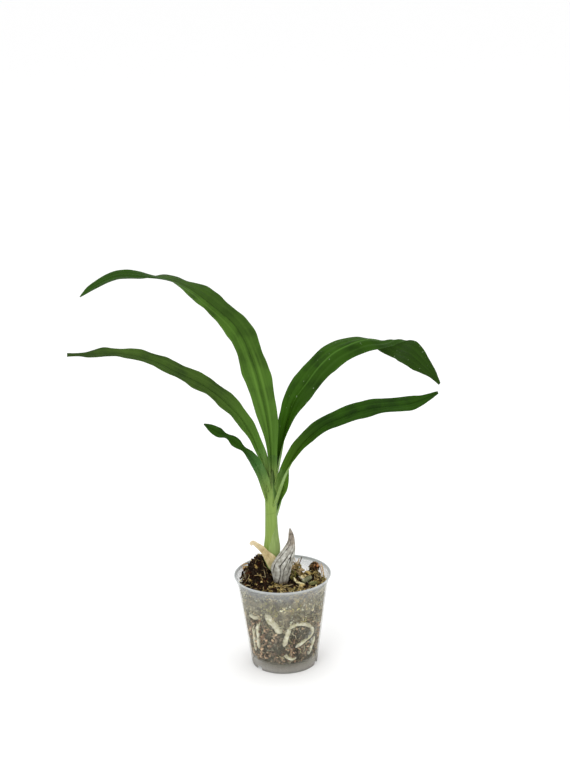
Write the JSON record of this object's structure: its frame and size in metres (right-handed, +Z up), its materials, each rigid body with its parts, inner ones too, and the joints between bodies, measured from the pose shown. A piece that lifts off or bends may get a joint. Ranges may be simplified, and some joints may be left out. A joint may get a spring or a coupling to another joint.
{
  "type": "potted catasetum orchid",
  "caption": "Young catasetum orchid without flowers in a clear nursery pot: pleated leaves fan out from a short stem with an old dried pseudobulb, in bark mix with white roots.",
  "frame": {"origin": "middle of the whole plant's outline seen from above, on the surface that the pot stands on; the pot's axis is 15.2 mm to +X and 20.1 mm to -Y of it", "axes": "+Z up, along the pot's axis; +X to the right as seen from the front; the front, where the old pseudobulb stands before the stem, faces -Y"},
  "size_m": [0.339, 0.1302, 0.3676],
  "materials": {
    "clear_plastic": "hazy clear thin plastic, slightly scuffed",
    "bark_mix": "damp bark, fibre and moss, matt",
    "root_skin": "dry white root skin, matt",
    "pale_sheath": "pale yellow-green, waxy",
    "leaf_green": "pleated leaf, soft satin",
    "dry_bulb": "grey-white shrivelled skin with dark cracks",
    "dry_bract": "dry papery tan",
    "brown_bark": "rough brown bark",
    "tan_bark": "dry tan bark",
    "mossy_bark": "grey-green weathered bark"
  },
  "bodies": {
    "root": {"pot": "clear_plastic", "potting_mix": "bark_mix", "roots": "root_skin", "leaf_sheaths": "pale_sheath", "leaf_tall_left": "leaf_green", "leaf_low_left": "leaf_green", "leaf_small_left": "leaf_green", "leaf_big_right": "leaf_green", "leaf_low_right": "leaf_green", "leaf_small_right": "leaf_green", "old_pseudobulb": "dry_bulb", "dry_bract": "dry_bract", "bark_chip_round": "brown_bark", "bark_chip_tan": "tan_bark", "bark_chip_grey": "mossy_bark", "bark_chip_olive": "mossy_bark"}
  },
  "joints": []
}
